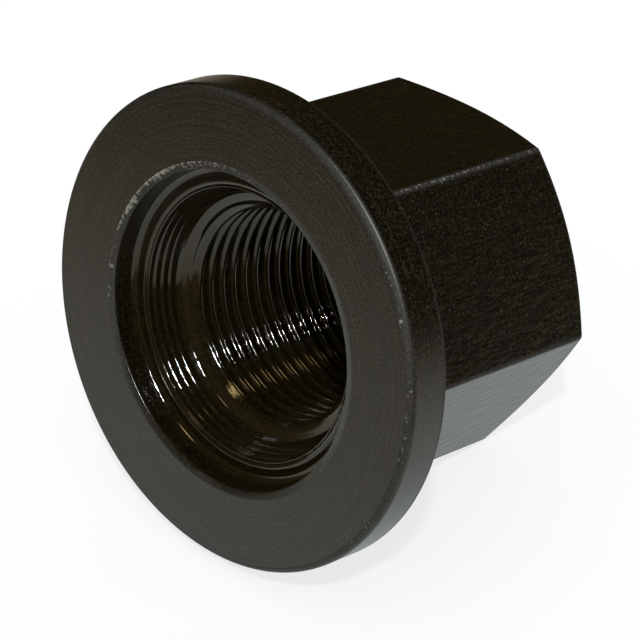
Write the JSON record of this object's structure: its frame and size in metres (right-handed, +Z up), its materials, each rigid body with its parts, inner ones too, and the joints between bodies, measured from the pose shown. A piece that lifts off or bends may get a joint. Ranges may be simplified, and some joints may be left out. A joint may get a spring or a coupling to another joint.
{
  "type": "lug nut",
  "caption": "One-piece flanged lug nut: a round flange with a flat bearing face, a hexagon behind it, and a stepped, threaded through hole.",
  "frame": {"origin": "on the surface that the nut lies on, below the middle of its bounding box", "axes": "+Z up. The nut lies on its side, on the rim of its flange and the far end of one flat of its hexagon. Its axis lies in the YZ plane: it runs towards +Y and dips by 15.25 degrees, so the bearing face looks along -Y and a little upwards. X is square to the nut's axis and runs through two opposite corners of the hexagon."},
  "size_m": [0.0465, 0.0404, 0.0459],
  "materials": {
    "black_oxide_steel": "black oxide on turned and forged steel, thinly oiled"
  },
  "bodies": {
    "root": {"nut_body": "black_oxide_steel"}
  },
  "joints": []
}
